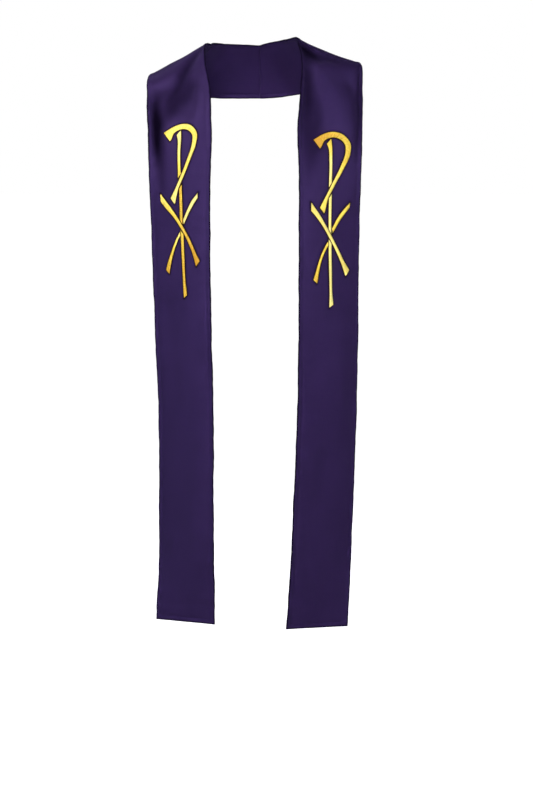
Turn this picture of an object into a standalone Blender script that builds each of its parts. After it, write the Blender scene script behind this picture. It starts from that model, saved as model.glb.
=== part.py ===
"""Clerical stole in its worn shape: two cut halves joined at the nape, a Chi-Rho on each front.

Metres, +Z up. The front faces -Y and +X is the viewer's right, which is the wearer's left.
The origin is the nape, at the middle of the neck, on the underside of the cloth.
Every piece is made flat, as it is cut, and is then dressed onto its worn place by one function.
On the cut, along runs from the centre back seam to the hem and across from the neck edge outward.
"""

from collections import namedtuple

import bmesh
import bpy
import numpy as np

# Cloth and sewing
CLOTH_THICK = 0.0024
BAND_WIDTH = 0.127
SEAM_GAP = 0.0003
SEAM_ACROSS = 0.017
RIM_ROUND = 0.0009
RIM_STEPS = 2
RIM_FACE_ANGLE = 1.0
ROW_STEP = 0.019
BAND_COLUMNS = 10
NORMAL_STEP = 0.002

# Satin stitch that stands on the cloth
STITCH_GAP = 0.0003
STITCH_EDGE = 0.0005
STITCH_CROWN = 0.0013
STITCH_STEP = 0.009
STITCH_COLUMNS = 4
EMBLEM_ALONG = 0.371

# Colour, roughness and metallic value
PURPLE_CLOTH = ((0.050, 0.033, 0.110), 0.75, 0.0)
GOLD_THREAD = ((0.720, 0.470, 0.090), 0.42, 0.2)

# A section crosses the band. Places are (across, forward, drop) from the nape, and crown is how far
# the cloth stands out midway between its two edges. The stole hangs a little to the wearer's left,
# so its centre back seam is SEAM_ACROSS from the middle of the neck and the two sides differ.
Section = namedtuple("Section", "name inner outer crown")

RIGHT_SECTIONS = (
    Section("centre back", (-SEAM_ACROSS, 0.000, 0.000), (-SEAM_ACROSS, -0.038, 0.104), 0.003),
    Section("nape", (0.016, 0.001, -0.001), (0.022, -0.037, 0.104), 0.003),
    Section("neck back", (0.046, 0.009, -0.002), (0.068, -0.034, 0.103), 0.003),
    Section("neck turn", (0.066, 0.024, -0.002), (0.106, -0.024, 0.100), 0.004),
    Section("blade", (0.079, 0.039, 0.000), (0.141, -0.008, 0.094), 0.005),
    Section("shoulder back", (0.087, 0.059, 0.000), (0.175, 0.021, 0.078), 0.006),
    Section("shoulder", (0.089, 0.081, 0.009), (0.193, 0.050, 0.062), 0.002),
    Section("shoulder front", (0.087, 0.113, 0.044), (0.202, 0.090, 0.070), 0.003),
    Section("collar bone", (0.079, 0.141, 0.083), (0.202, 0.119, 0.107), 0.003),
    Section("upper chest", (0.074, 0.182, 0.168), (0.199, 0.147, 0.178), 0.004),
    Section("chest", (0.076, 0.201, 0.257), (0.196, 0.157, 0.260), 0.006),
    Section("rib", (0.077, 0.207, 0.390), (0.192, 0.160, 0.391), 0.005),
    Section("waist", (0.075, 0.208, 0.559), (0.188, 0.155, 0.559), 0.004),
    Section("hip", (0.072, 0.207, 0.726), (0.183, 0.150, 0.727), 0.004),
    Section("thigh", (0.073, 0.207, 0.905), (0.184, 0.151, 0.907), 0.003),
    Section("knee", (0.072, 0.209, 1.038), (0.186, 0.155, 1.042), 0.003),
    Section("hem", (0.0707, 0.210, 1.1355), (0.191, 0.166, 1.138), 0.002),
)

LEFT_SECTIONS = (
    Section("centre back", (SEAM_ACROSS, 0.000, 0.000), (SEAM_ACROSS, -0.038, 0.104), 0.003),
    Section("nape", (0.031, 0.003, -0.004), (0.040, -0.037, 0.103), 0.003),
    Section("neck back", (0.048, 0.009, -0.007), (0.069, -0.035, 0.100), 0.003),
    Section("neck turn", (0.067, 0.023, -0.010), (0.110, -0.024, 0.094), 0.004),
    Section("blade", (0.081, 0.038, -0.011), (0.150, -0.007, 0.083), 0.005),
    Section("shoulder back", (0.090, 0.059, -0.011), (0.180, 0.016, 0.066), 0.005),
    Section("shoulder", (0.094, 0.081, 0.000), (0.201, 0.045, 0.044), 0.004),
    Section("shoulder front", (0.098, 0.109, 0.037), (0.216, 0.080, 0.042), 0.005),
    Section("collar bone", (0.0955, 0.138, 0.076), (0.218, 0.107, 0.095), 0.003),
    Section("upper chest", (0.0885, 0.180, 0.163), (0.216, 0.144, 0.172), 0.005),
    Section("chest", (0.091, 0.200, 0.253), (0.212, 0.161, 0.255), 0.006),
    Section("rib", (0.091, 0.207, 0.390), (0.209, 0.163, 0.390), 0.005),
    Section("waist", (0.091, 0.208, 0.559), (0.209, 0.158, 0.562), 0.004),
    Section("hip", (0.0885, 0.207, 0.726), (0.207, 0.157, 0.730), 0.004),
    Section("thigh", (0.0815, 0.206, 0.905), (0.202, 0.162, 0.909), 0.003),
    Section("knee", (0.0750, 0.208, 1.046), (0.197, 0.168, 1.051), 0.003),
    Section("hem", (0.0675, 0.210, 1.1455), (0.1918, 0.180, 1.1483), 0.002),
)

# A fold runs along a line of (along, across, height) on the cut, where a trough's height is negative.
Fold = namedtuple("Fold", "name half_width line")

RIGHT_FOLDS = (
    Fold("back trough", 0.018, ((0.060, 0.030, -0.0020), (0.095, 0.127, -0.0028))),
    Fold("neck pleat", 0.011, ((0.118, 0.000, 0.0024), (0.142, 0.060, 0.0010))),
    Fold("shoulder trough", 0.012, (
        (0.176, 0.003, -0.0016), (0.214, 0.028, -0.0046), (0.242, 0.046, -0.0056),
        (0.264, 0.058, -0.0046), (0.290, 0.074, -0.0026), (0.312, 0.090, -0.0012))),
    Fold("chest trough", 0.015, (
        (0.252, 0.030, -0.0012), (0.280, 0.046, -0.0034), (0.304, 0.060, -0.0044),
        (0.328, 0.078, -0.0038), (0.348, 0.098, -0.0020))),
    Fold("outer trough", 0.012, (
        (0.262, 0.110, -0.0010), (0.312, 0.110, -0.0046), (0.358, 0.109, -0.0078),
        (0.392, 0.108, -0.0070), (0.440, 0.105, -0.0036), (0.520, 0.102, -0.0008))),
    Fold("shoulder swell", 0.020, ((0.214, 0.076, 0.0016), (0.256, 0.096, 0.0034))),
    Fold("outer roll", 0.008, (
        (0.290, 0.127, 0.0008), (0.350, 0.127, 0.0018), (0.410, 0.127, 0.0016), (0.470, 0.127, 0.0004))),
    Fold("inner roll", 0.016, (
        (0.262, 0.012, 0.0018), (0.315, 0.016, 0.0034), (0.350, 0.026, 0.0030), (0.420, 0.022, 0.0008))),
    Fold("waist hollow", 0.024, ((0.700, 0.088, -0.0018), (0.900, 0.070, -0.0014))),
    Fold("thigh swell", 0.022, ((0.960, 0.030, 0.0015), (1.160, 0.046, 0.0012))),
    Fold("hem inner ear", 0.020, ((1.325, 0.000, 0.0022), (1.290, 0.006, 0.0014))),
    Fold("hem outer ear", 0.020, ((1.325, 0.127, 0.0020), (1.285, 0.120, 0.0014))),
)

LEFT_FOLDS = (
    Fold("back trough", 0.020, ((0.052, 0.040, -0.0016), (0.098, 0.127, -0.0024))),
    Fold("neck pleat", 0.012, ((0.104, 0.000, 0.0022), (0.120, 0.070, 0.0010))),
    Fold("neck hollow", 0.012, ((0.166, 0.000, -0.0036), (0.186, 0.030, -0.0030), (0.200, 0.070, -0.0014))),
    Fold("inner hollow", 0.015, (
        (0.186, 0.010, -0.0034), (0.236, 0.015, -0.0062), (0.300, 0.017, -0.0058),
        (0.350, 0.018, -0.0042), (0.450, 0.019, -0.0014))),
    Fold("shoulder crest", 0.026, (
        (0.226, 0.050, 0.0024), (0.262, 0.066, 0.0044), (0.292, 0.082, 0.0046),
        (0.330, 0.084, 0.0034), (0.400, 0.074, 0.0006))),
    Fold("inner roll", 0.008, ((0.235, 0.000, 0.0010), (0.295, 0.000, 0.0024), (0.400, 0.001, 0.0012))),
    Fold("outer dip", 0.016, ((0.215, 0.127, -0.0020), (0.300, 0.127, -0.0030), (0.380, 0.127, -0.0008))),
    Fold("waist swell", 0.026, ((0.740, 0.080, 0.0016), (0.930, 0.094, 0.0012))),
    Fold("thigh hollow", 0.026, ((0.980, 0.052, -0.0018), (1.190, 0.036, -0.0012))),
    Fold("hem inner ear", 0.018, ((1.325, 0.000, 0.0020), (1.300, 0.006, 0.0014))),
    Fold("hem outer ear", 0.022, ((1.325, 0.127, 0.0024), (1.290, 0.122, 0.0016))),
)

# A stroke is a centre line of (right, down, half width), as the viewer sees it, from the top of the
# emblem's staff. A slant is how far the cut at that end leads on the stroke's left as it travels.
# The two emblems share a pattern, and each is pulled a little out of true by its own half.
Stroke = namedtuple("Stroke", "name points start_slant end_slant")

RIGHT_STROKES = (
    Stroke("bowl", (
        (-0.0243, 0.0084, 0.0108), (-0.0127, -0.0026, 0.0064), (0.0052, -0.0088, 0.0052),
        (0.0222, -0.0056, 0.0054), (0.0326, 0.0070, 0.0048), (0.0318, 0.0240, 0.0040),
        (0.0218, 0.0530, 0.0031), (0.0083, 0.0860, 0.0029), (-0.0036, 0.1110, 0.0031),
        (-0.0128, 0.1332, 0.0062)), -0.0025, 0.0045),
    Stroke("staff_top", (
        (0.0002, 0.0030, 0.0048), (0.0014, 0.0150, 0.0034), (0.0008, 0.0400, 0.0028),
        (0.0026, 0.0855, 0.0029)), 0.0048, -0.0064),
    Stroke("staff_middle", (
        (0.0046, 0.1065, 0.0029), (0.0052, 0.1400, 0.0028), (0.0052, 0.1735, 0.0028)),
        0.0062, 0.0062),
    Stroke("staff_foot", (
        (0.0062, 0.1935, 0.0028), (0.0075, 0.2400, 0.0027), (0.0090, 0.2900, 0.0027),
        (0.0106, 0.3185, 0.0037)), -0.0062, -0.0036),
    Stroke("chi_over", (
        (-0.0402, 0.1275, 0.0052), (-0.0254, 0.1435, 0.0047), (-0.0096, 0.1615, 0.0034),
        (0.0045, 0.1815, 0.0029), (0.0228, 0.2135, 0.0030), (0.0324, 0.2350, 0.0034),
        (0.0396, 0.2535, 0.0056)), 0.0075, -0.0044),
    Stroke("chi_under_top", (
        (0.0404, 0.1228, 0.0028), (0.0312, 0.1345, 0.0033), (0.0204, 0.1530, 0.0028),
        (0.0104, 0.1730, 0.0022)), -0.0050, 0.0054),
    Stroke("chi_under_foot", (
        (0.0018, 0.1962, 0.0018), (-0.0056, 0.2090, 0.0020), (-0.0150, 0.2300, 0.0025),
        (-0.0228, 0.2505, 0.0035), (-0.0284, 0.2705, 0.0043)), -0.0042, 0.0034),
)

LEFT_STROKES = (
    Stroke("bowl", (
        (-0.0228, 0.0086, 0.0104), (-0.0112, -0.0034, 0.0062), (0.0050, -0.0096, 0.0053),
        (0.0230, -0.0064, 0.0055), (0.0356, 0.0066, 0.0055), (0.0364, 0.0240, 0.0048),
        (0.0252, 0.0530, 0.0037), (0.0075, 0.0860, 0.0031), (-0.0058, 0.1110, 0.0031),
        (-0.0146, 0.1332, 0.0062)), -0.0025, 0.0045),
    Stroke("staff_top", (
        (-0.0004, 0.0034, 0.0050), (0.0022, 0.0150, 0.0034), (0.0028, 0.0400, 0.0028),
        (0.0018, 0.0855, 0.0028)), 0.0048, -0.0064),
    Stroke("staff_middle", (
        (0.0018, 0.1065, 0.0029), (0.0017, 0.1400, 0.0028), (0.0019, 0.1735, 0.0029)),
        0.0062, 0.0062),
    Stroke("staff_foot", (
        (0.0026, 0.1925, 0.0029), (0.0037, 0.2400, 0.0029), (0.0052, 0.2900, 0.0027),
        (0.0064, 0.3168, 0.0042)), -0.0062, -0.0036),
    Stroke("chi_over", (
        (-0.0362, 0.1262, 0.0048), (-0.0222, 0.1435, 0.0039), (-0.0100, 0.1615, 0.0031),
        (0.0020, 0.1815, 0.0029), (0.0198, 0.2135, 0.0031), (0.0308, 0.2350, 0.0037),
        (0.0404, 0.2535, 0.0065)), 0.0075, -0.0044),
    Stroke("chi_under_top", (
        (0.0424, 0.1240, 0.0028), (0.0322, 0.1348, 0.0035), (0.0184, 0.1530, 0.0033),
        (0.0074, 0.1722, 0.0025)), -0.0050, 0.0054),
    Stroke("chi_under_foot", (
        (-0.0016, 0.1962, 0.0020), (-0.0087, 0.2090, 0.0020), (-0.0174, 0.2300, 0.0023),
        (-0.0228, 0.2505, 0.0031), (-0.0270, 0.2690, 0.0043)), -0.0042, 0.0034),
)

# Side is -1 for the wearer's right and 1 for the wearer's left. The right-hand emblem is stitched a
# little smaller and farther out than the left-hand one.
Half = namedtuple("Half", "name side sections folds strokes emblem_across emblem_width emblem_length")

HALVES = (
    Half("right", -1, RIGHT_SECTIONS, RIGHT_FOLDS, RIGHT_STROKES, 0.0632, 0.96, 0.985),
    Half("left", 1, LEFT_SECTIONS, LEFT_FOLDS, LEFT_STROKES, 0.060, 1.00, 1.00),
)


def smooth_table(rows, knots, places):
    """Values of a table between its rows, by a curve that passes through each row."""
    slopes = np.gradient(rows, knots, axis=0)
    before = np.clip(np.searchsorted(knots, places) - 1, 0, len(knots) - 2)
    span = (knots[before + 1] - knots[before])[..., None]
    part = (places - knots[before])[..., None] / span
    rest = 1.0 - part
    start, end = rows[before], rows[before + 1]
    lean = span * part * rest * (rest * slopes[before] - part * slopes[before + 1])
    return start * rest * rest * (1.0 + 2.0 * part) + end * part * part * (1.0 + 2.0 * rest) + lean


def running_length(points):
    """Distance from the first point to each point of a chain."""
    steps = np.linalg.norm(np.diff(points, axis=0), axis=1)
    return np.concatenate(([0.0], np.cumsum(steps)))


def section_table(half):
    """The half's sections as rows of inner, outer and crown, and their places along the cut."""
    rows = np.array([(*row.inner, *row.outer, row.crown) for row in half.sections])
    return rows, running_length((rows[:, 0:3] + rows[:, 3:6]) / 2.0)


def to_world(half, place):
    """World place of (across, forward, drop) on this side of the body."""
    return (place + (SEAM_GAP / 2.0, 0.0, 0.0)) * (half.side, -1.0, -1.0)


def ruled_place(half, along, across):
    """Place on the straight line between the two edges, and the crown of that section."""
    rows, knots = section_table(half)
    values = smooth_table(rows, knots, along)
    share = (across / BAND_WIDTH)[..., None]
    place = values[..., 0:3] * (1.0 - share) + values[..., 3:6] * share
    return to_world(half, place), values[..., 6]


def fold_height(half, along, across):
    """Height of all folds at a place on the cut."""
    height = np.zeros_like(along)
    for fold in half.folds:
        nearest = np.full(along.shape, np.inf)
        level = np.zeros_like(along)
        for start, end in zip(fold.line, fold.line[1:]):
            run = np.subtract(end, start)
            run_along, run_across, run_height = run
            offset_along, offset_across = along - start[0], across - start[1]
            reach = (offset_along * run_along + offset_across * run_across) / (run[:2] @ run[:2])
            reach = np.clip(reach, 0.0, 1.0)
            distance = np.hypot(offset_along - reach * run_along, offset_across - reach * run_across)
            level = np.where(distance < nearest, start[2] + reach * run_height, level)
            nearest = np.minimum(distance, nearest)
        height += level * np.exp(-((nearest / fold.half_width) ** 2))
    return height


def outward(half, place, along, across):
    """Unit normal away from the body, which lies in the seam's plane at the seam."""
    ahead = place(half, along + NORMAL_STEP, across)
    behind = place(half, np.abs(along - NORMAL_STEP), across)
    past_seam = along < NORMAL_STEP
    behind[past_seam, 0] = 2.0 * SEAM_ACROSS - behind[past_seam, 0]
    toward_outer = (place(half, along, across + NORMAL_STEP)
                    - place(half, along, across - NORMAL_STEP))
    normal = half.side * np.cross(ahead - behind, toward_outer)
    return normal / np.linalg.norm(normal, axis=-1, keepdims=True)


def smooth_place(half, along, across):
    """Place on the ruled surface alone."""
    return ruled_place(half, along, across)[0]


def cloth_place(half, along, across):
    """Place on the underside of the worn cloth, with its crown and folds."""
    place, crown = ruled_place(half, along, across)
    share = across / BAND_WIDTH
    height = crown * 4.0 * share * (1.0 - share) + fold_height(half, along, across)
    return place + outward(half, smooth_place, along, across) * height[..., None]


def dress(mesh, half):
    """Move a flat mesh, (along, across, height) at each vertex, onto the worn half."""
    flat = np.array([vertex.co for vertex in mesh.verts])
    along, across, height = flat[:, 0], flat[:, 1], flat[:, 2]
    lift = outward(half, cloth_place, along, across) * height[:, None]
    for vertex, place in zip(mesh.verts, cloth_place(half, along, across) + lift):
        vertex.co = place


def flat_slab(along_cells, across_cells):
    """A closed slab over the unit square, one unit high, in cells."""
    mesh = bmesh.new()
    bmesh.ops.create_grid(mesh, x_segments=along_cells, y_segments=across_cells, size=0.5)
    bmesh.ops.translate(mesh, verts=mesh.verts, vec=(0.5, 0.5, 0.0))
    bmesh.ops.solidify(mesh, geom=mesh.faces[:], thickness=1.0)
    lowest = min(vertex.co.z for vertex in mesh.verts)
    bmesh.ops.translate(mesh, verts=mesh.verts, vec=(0.0, 0.0, -lowest))
    return mesh


def finish_piece(mesh, name, finish, parent):
    """Turn a closed mesh into a named object with its own material."""
    bmesh.ops.recalc_face_normals(mesh, faces=mesh.faces)
    if mesh.calc_volume(signed=True) < 0.0:
        bmesh.ops.reverse_faces(mesh, faces=mesh.faces)
    for face in mesh.faces:
        face.smooth = True
    data = bpy.data.meshes.new(name)
    mesh.to_mesh(data)
    mesh.free()
    colour, roughness, metallic = finish
    material = bpy.data.materials.new(name)
    material.use_nodes = True
    shader = material.node_tree.nodes["Principled BSDF"]
    shader.inputs["Base Color"].default_value = (*colour, 1.0)
    shader.inputs["Roughness"].default_value = roughness
    shader.inputs["Metallic"].default_value = metallic
    data.materials.append(material)
    piece = bpy.data.objects.new(name, data)
    bpy.context.collection.objects.link(piece)
    piece.parent = parent


def build_band(half, parent):
    """One half of the stole: a flat slab with a rounded rim, dressed onto the body."""
    length = section_table(half)[1][-1]
    mesh = flat_slab(round(length / ROW_STEP), BAND_COLUMNS)
    bmesh.ops.scale(mesh, verts=mesh.verts, vec=(length, BAND_WIDTH, CLOTH_THICK))
    rim = [edge for edge in mesh.edges if edge.calc_face_angle() > RIM_FACE_ANGLE]
    bmesh.ops.bevel(mesh, geom=rim, offset=RIM_ROUND, offset_type="OFFSET", segments=RIM_STEPS,
                    profile=0.5, affect="EDGES", material=-1)
    dress(mesh, half)
    finish_piece(mesh, half.name + "_half", PURPLE_CLOTH, parent)


def stroke_place(stroke, travel, lateral):
    """Place (right, down) on a stroke, at a travel of 0 to 1 and a lateral of -1 to 1."""
    points = np.array(stroke.points)
    knots = running_length(points[:, 0:2])
    start = -lateral * stroke.start_slant
    reach = start + travel * (knots[-1] + lateral * stroke.end_slant - start)
    on_line = np.clip(reach, 0.0, knots[-1])
    here = smooth_table(points, knots, on_line)
    nearby = np.clip(on_line, NORMAL_STEP, knots[-1] - NORMAL_STEP)
    ahead = smooth_table(points, knots, nearby + NORMAL_STEP)
    behind = smooth_table(points, knots, nearby - NORMAL_STEP)
    heading = (ahead - behind)[:, 0:2]
    heading /= np.linalg.norm(heading, axis=1, keepdims=True)
    to_left = np.stack((heading[:, 1], -heading[:, 0]), axis=1)
    overrun = (reach - on_line)[:, None]
    return here[:, 0:2] + heading * overrun + to_left * (lateral * here[:, 2])[:, None]


def build_stroke(half, stroke, parent):
    """One raised stroke of satin stitch, laid on the cloth just clear of its face."""
    points = np.array(stroke.points)
    cells = round(running_length(points[:, 0:2])[-1] / STITCH_STEP)
    mesh = flat_slab(cells, STITCH_COLUMNS)
    flat = np.array([vertex.co for vertex in mesh.verts])
    lateral = flat[:, 1] * 2.0 - 1.0
    place = stroke_place(stroke, flat[:, 0], lateral)
    thick = STITCH_EDGE + (STITCH_CROWN - STITCH_EDGE) * (1.0 - lateral**2)
    height = CLOTH_THICK + STITCH_GAP + flat[:, 2] * thick
    across = half.emblem_across + half.side * half.emblem_width * place[:, 0]
    along = EMBLEM_ALONG + half.emblem_length * place[:, 1]
    for vertex, flat_place in zip(mesh.verts, np.stack((along, across, height), axis=1)):
        vertex.co = flat_place
    dress(mesh, half)
    finish_piece(mesh, half.name + "_" + stroke.name, GOLD_THREAD, parent)


def main():
    for thing in list(bpy.data.objects):
        bpy.data.objects.remove(thing, do_unlink=True)
    stole = bpy.data.objects.new("stole", None)
    bpy.context.collection.objects.link(stole)
    for half in HALVES:
        build_band(half, stole)
        for stroke in half.strokes:
            build_stroke(half, stroke, stole)


main()
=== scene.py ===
"""Looks of a clerical stole in its worn, hollow shape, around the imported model's frame.

Metres, in the frame's axes: +Z up, the fronts face -Y, +X is the wearer's left.
Each piece is laid out flat, as it is cut or stitched, and is then dressed onto its worn place.
On the cut, along runs from the centre back seam to the hem and across from the neck edge outward.
"""

import math
from collections import namedtuple

import bmesh
import bpy
import mathutils
import numpy as np
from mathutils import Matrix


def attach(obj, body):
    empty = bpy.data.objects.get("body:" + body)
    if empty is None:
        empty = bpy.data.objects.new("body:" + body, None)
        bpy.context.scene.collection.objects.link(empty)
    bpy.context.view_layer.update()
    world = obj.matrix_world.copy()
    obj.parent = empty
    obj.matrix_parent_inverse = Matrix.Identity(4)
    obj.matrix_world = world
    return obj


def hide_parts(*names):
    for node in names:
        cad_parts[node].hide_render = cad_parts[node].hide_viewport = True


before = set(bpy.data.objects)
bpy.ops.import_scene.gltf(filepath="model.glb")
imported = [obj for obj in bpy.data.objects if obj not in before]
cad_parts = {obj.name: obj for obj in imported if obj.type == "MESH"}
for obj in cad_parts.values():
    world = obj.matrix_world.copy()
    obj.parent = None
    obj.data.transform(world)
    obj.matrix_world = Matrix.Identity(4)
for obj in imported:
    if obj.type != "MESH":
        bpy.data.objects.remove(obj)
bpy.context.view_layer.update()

# The cut, and how it is worn. The sections, folds and strokes below repeat those of the CAD model.
# The folds grow from nothing at the centre back seam to their full height at SEAM_FLAT.
CLOTH_THICK = 0.0024
BAND_WIDTH = 0.127
SEAM_ACROSS = 0.017
NORMAL_STEP = 0.002
EMBLEM_ALONG = 0.371
EMBLEM_LENGTH = 0.320
EMBLEM_MARGIN = 0.030
SEAM_FLAT = 0.05

# A section crosses the band. Places are (across, forward, drop) from the nape, and crown is how far
# the cloth stands out midway between its two edges.
Section = namedtuple("Section", "name inner outer crown")

RIGHT_SECTIONS = (
    Section("centre back", (-SEAM_ACROSS, 0.000, 0.000), (-SEAM_ACROSS, -0.038, 0.104), 0.003),
    Section("nape", (0.016, 0.001, -0.001), (0.022, -0.037, 0.104), 0.003),
    Section("neck back", (0.046, 0.009, -0.002), (0.068, -0.034, 0.103), 0.003),
    Section("neck turn", (0.066, 0.024, -0.002), (0.106, -0.024, 0.100), 0.004),
    Section("blade", (0.079, 0.039, 0.000), (0.141, -0.008, 0.094), 0.005),
    Section("shoulder back", (0.087, 0.059, 0.000), (0.175, 0.021, 0.078), 0.006),
    Section("shoulder", (0.089, 0.081, 0.009), (0.193, 0.050, 0.062), 0.002),
    Section("shoulder front", (0.087, 0.113, 0.044), (0.202, 0.090, 0.070), 0.003),
    Section("collar bone", (0.079, 0.141, 0.083), (0.202, 0.119, 0.107), 0.003),
    Section("upper chest", (0.074, 0.182, 0.168), (0.199, 0.147, 0.178), 0.004),
    Section("chest", (0.076, 0.201, 0.257), (0.196, 0.157, 0.260), 0.006),
    Section("rib", (0.077, 0.207, 0.390), (0.192, 0.160, 0.391), 0.005),
    Section("waist", (0.075, 0.208, 0.559), (0.188, 0.155, 0.559), 0.004),
    Section("hip", (0.072, 0.207, 0.726), (0.183, 0.150, 0.727), 0.004),
    Section("thigh", (0.073, 0.207, 0.905), (0.184, 0.151, 0.907), 0.003),
    Section("knee", (0.072, 0.209, 1.038), (0.186, 0.155, 1.042), 0.003),
    Section("hem", (0.0707, 0.210, 1.1355), (0.191, 0.166, 1.138), 0.002),
)

LEFT_SECTIONS = (
    Section("centre back", (SEAM_ACROSS, 0.000, 0.000), (SEAM_ACROSS, -0.038, 0.104), 0.003),
    Section("nape", (0.031, 0.003, -0.004), (0.040, -0.037, 0.103), 0.003),
    Section("neck back", (0.048, 0.009, -0.007), (0.069, -0.035, 0.100), 0.003),
    Section("neck turn", (0.067, 0.023, -0.010), (0.110, -0.024, 0.094), 0.004),
    Section("blade", (0.081, 0.038, -0.011), (0.150, -0.007, 0.083), 0.005),
    Section("shoulder back", (0.090, 0.059, -0.011), (0.180, 0.016, 0.066), 0.005),
    Section("shoulder", (0.094, 0.081, 0.000), (0.201, 0.045, 0.044), 0.004),
    Section("shoulder front", (0.098, 0.109, 0.037), (0.216, 0.080, 0.042), 0.005),
    Section("collar bone", (0.0955, 0.138, 0.076), (0.218, 0.107, 0.095), 0.003),
    Section("upper chest", (0.0885, 0.180, 0.163), (0.216, 0.144, 0.172), 0.005),
    Section("chest", (0.091, 0.200, 0.253), (0.212, 0.161, 0.255), 0.006),
    Section("rib", (0.091, 0.207, 0.390), (0.209, 0.163, 0.390), 0.005),
    Section("waist", (0.091, 0.208, 0.559), (0.209, 0.158, 0.562), 0.004),
    Section("hip", (0.0885, 0.207, 0.726), (0.207, 0.157, 0.730), 0.004),
    Section("thigh", (0.0815, 0.206, 0.905), (0.202, 0.162, 0.909), 0.003),
    Section("knee", (0.0750, 0.208, 1.046), (0.197, 0.168, 1.051), 0.003),
    Section("hem", (0.0675, 0.210, 1.1455), (0.1918, 0.180, 1.1483), 0.002),
)

# A fold runs along a line of (along, across, height) on the cut. A trough's height is negative.
Fold = namedtuple("Fold", "name half_width line")

RIGHT_FOLDS = (
    Fold("back trough", 0.018, ((0.060, 0.030, -0.0020), (0.095, 0.127, -0.0028))),
    Fold("neck pleat", 0.011, ((0.118, 0.000, 0.0024), (0.142, 0.060, 0.0010))),
    Fold("shoulder trough", 0.012, (
        (0.176, 0.003, -0.0016), (0.214, 0.028, -0.0046), (0.242, 0.046, -0.0056),
        (0.264, 0.058, -0.0046), (0.290, 0.074, -0.0026), (0.312, 0.090, -0.0012))),
    Fold("chest trough", 0.015, (
        (0.252, 0.030, -0.0012), (0.280, 0.046, -0.0034), (0.304, 0.060, -0.0044),
        (0.328, 0.078, -0.0038), (0.348, 0.098, -0.0020))),
    Fold("outer trough", 0.012, (
        (0.262, 0.110, -0.0010), (0.312, 0.110, -0.0046), (0.358, 0.109, -0.0078),
        (0.392, 0.108, -0.0070), (0.440, 0.105, -0.0036), (0.520, 0.102, -0.0008))),
    Fold("shoulder swell", 0.020, ((0.214, 0.076, 0.0016), (0.256, 0.096, 0.0034))),
    Fold("outer roll", 0.008, (
        (0.290, 0.127, 0.0008), (0.350, 0.127, 0.0018), (0.410, 0.127, 0.0016), (0.470, 0.127, 0.0004))),
    Fold("inner roll", 0.016, (
        (0.262, 0.012, 0.0018), (0.315, 0.016, 0.0034), (0.350, 0.026, 0.0030), (0.420, 0.022, 0.0008))),
    Fold("waist hollow", 0.024, ((0.700, 0.088, -0.0018), (0.900, 0.070, -0.0014))),
    Fold("thigh swell", 0.022, ((0.960, 0.030, 0.0015), (1.160, 0.046, 0.0012))),
    Fold("hem inner ear", 0.020, ((1.325, 0.000, 0.0022), (1.290, 0.006, 0.0014))),
    Fold("hem outer ear", 0.020, ((1.325, 0.127, 0.0020), (1.285, 0.120, 0.0014))),
)

LEFT_FOLDS = (
    Fold("back trough", 0.020, ((0.052, 0.040, -0.0016), (0.098, 0.127, -0.0024))),
    Fold("neck pleat", 0.012, ((0.104, 0.000, 0.0022), (0.120, 0.070, 0.0010))),
    Fold("neck hollow", 0.012, (
        (0.166, 0.000, -0.0036), (0.186, 0.030, -0.0030), (0.200, 0.070, -0.0014))),
    Fold("inner hollow", 0.015, (
        (0.186, 0.010, -0.0034), (0.236, 0.015, -0.0062), (0.300, 0.017, -0.0058),
        (0.350, 0.018, -0.0042), (0.450, 0.019, -0.0014))),
    Fold("shoulder crest", 0.026, (
        (0.226, 0.050, 0.0024), (0.262, 0.066, 0.0044), (0.292, 0.082, 0.0046),
        (0.330, 0.084, 0.0034), (0.400, 0.074, 0.0006))),
    Fold("inner roll", 0.008, ((0.235, 0.000, 0.0010), (0.295, 0.000, 0.0024), (0.400, 0.001, 0.0012))),
    Fold("outer dip", 0.016, ((0.215, 0.127, -0.0020), (0.300, 0.127, -0.0030), (0.380, 0.127, -0.0008))),
    Fold("waist swell", 0.026, ((0.740, 0.080, 0.0016), (0.930, 0.094, 0.0012))),
    Fold("thigh hollow", 0.026, ((0.980, 0.052, -0.0018), (1.190, 0.036, -0.0012))),
    Fold("hem inner ear", 0.018, ((1.325, 0.000, 0.0020), (1.300, 0.006, 0.0014))),
    Fold("hem outer ear", 0.022, ((1.325, 0.127, 0.0024), (1.290, 0.122, 0.0016))),
)

# Creases and soft hollows that only the finished cloth has, laid out as folds are.
RIGHT_CREASES = (
    Fold("nape ripple", 0.008, ((0.020, 0.000, 0.0007), (0.034, 0.050, 0.0003))),
    Fold("neck ripple", 0.006, ((0.160, 0.000, -0.0011), (0.176, 0.036, -0.0004))),
    Fold("shoulder drag", 0.012, (
        (0.256, 0.030, -0.0006), (0.284, 0.034, -0.0028),
        (0.306, 0.042, -0.0026), (0.326, 0.054, -0.0008))),
    Fold("outer ease", 0.024, (
        (0.246, 0.092, -0.0022), (0.280, 0.088, -0.0040), (0.316, 0.090, -0.0022))),
    Fold("collar bone drag", 0.008, (
        (0.262, 0.066, 0.0008), (0.300, 0.092, 0.0006), (0.320, 0.104, 0.0002))),
    Fold("chest drag", 0.016, (
        (0.318, 0.036, -0.0008), (0.338, 0.052, -0.0018), (0.356, 0.066, -0.0010))),
    Fold("edge hollow", 0.010, (
        (0.298, 0.115, -0.0012), (0.345, 0.114, -0.0030),
        (0.390, 0.114, -0.0028), (0.430, 0.113, -0.0008))),
    Fold("rib crease", 0.007, ((0.560, 0.104, 0.0006), (0.640, 0.112, 0.0002))),
    Fold("waist crease", 0.008, ((0.812, 0.010, -0.0008), (0.868, 0.022, -0.0003))),
    Fold("knee crease", 0.009, ((1.176, 0.090, 0.0008), (1.240, 0.108, 0.0002))),
    Fold("hem pull", 0.007, ((1.296, 0.020, -0.0005), (1.304, 0.104, -0.0003))),
)

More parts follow.
